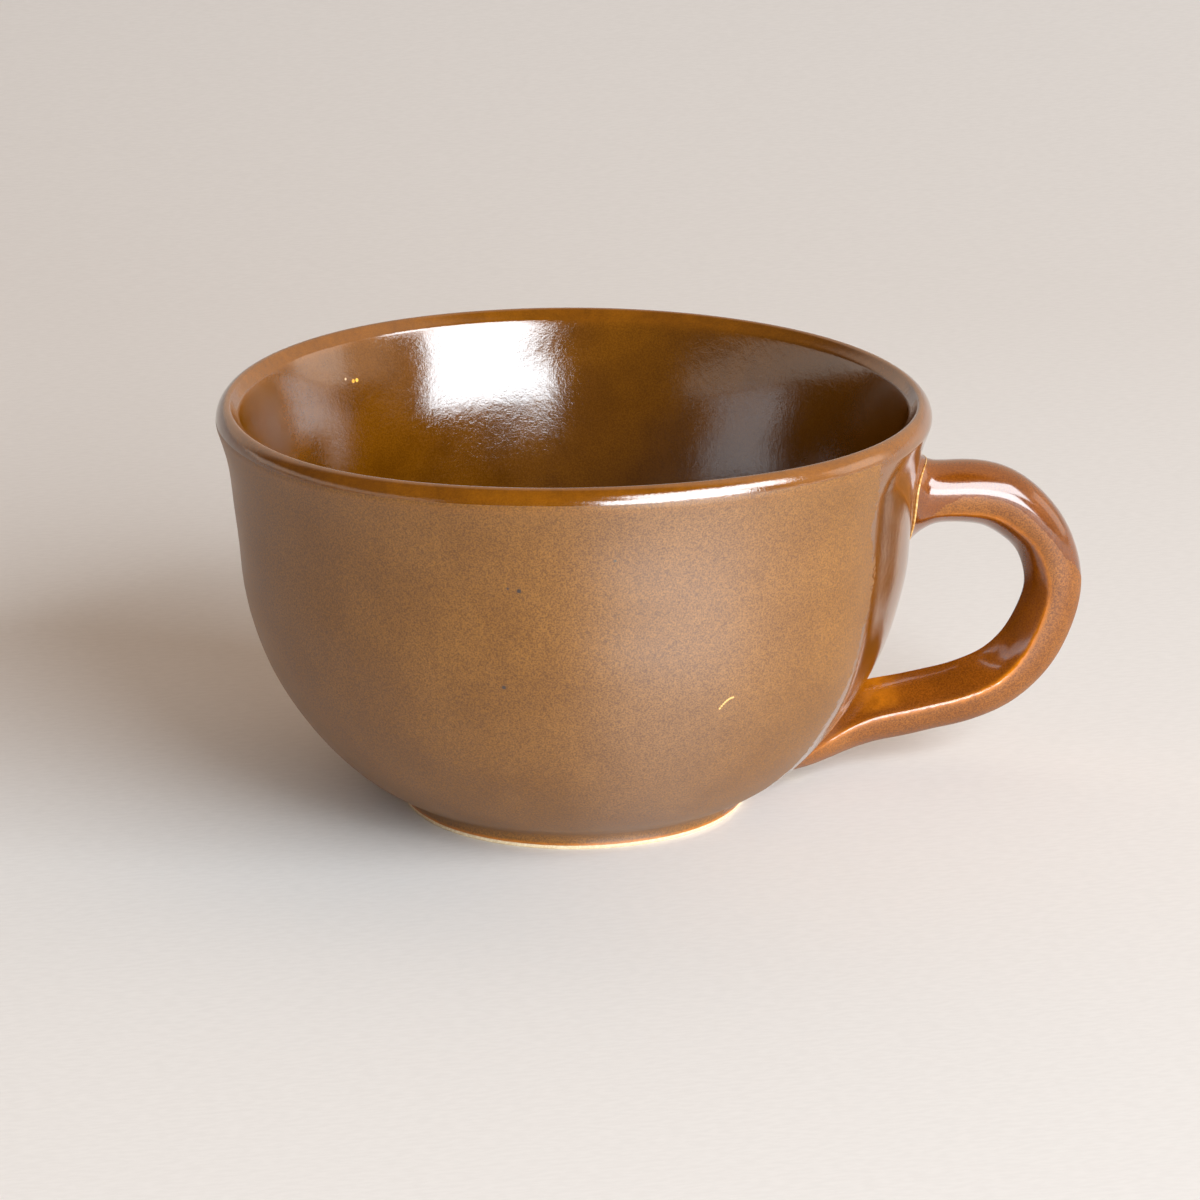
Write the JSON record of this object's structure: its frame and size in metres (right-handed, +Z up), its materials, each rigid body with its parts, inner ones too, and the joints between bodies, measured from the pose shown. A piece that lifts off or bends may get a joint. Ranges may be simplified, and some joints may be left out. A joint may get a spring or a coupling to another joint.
{
  "type": "coffee cup",
  "caption": "Low, wide stoneware coffee cup with a flared lip, a rounded belly on a small turned foot and a round loop handle, in glossy amber-brown glaze, for holding a hot drink.",
  "frame": {"origin": "on the table plane, under the middle of the cup's box, handle included", "axes": "+Z up through the mouth, +X towards the handle, +Y to the left of the handle seen from outside it"},
  "size_m": [0.137, 0.11, 0.0646],
  "materials": {
    "clay": "bare fired stoneware, fine grained and matt",
    "slip": "fired slip under a thin run of glaze",
    "satin_glaze": "satin amber-brown iron glaze with a fine speckle",
    "gloss_glaze": "glossy amber iron glaze, orange where it thins on edges"
  },
  "bodies": {
    "root": {"bowl": "clay", "handle": "clay", "upper_slip_joint": "slip", "lower_slip_joint": "slip", "outside_glaze": "satin_glaze", "inside_glaze": "gloss_glaze", "handle_glaze": "gloss_glaze", "foot_recess_glaze": "gloss_glaze"}
  },
  "joints": []
}
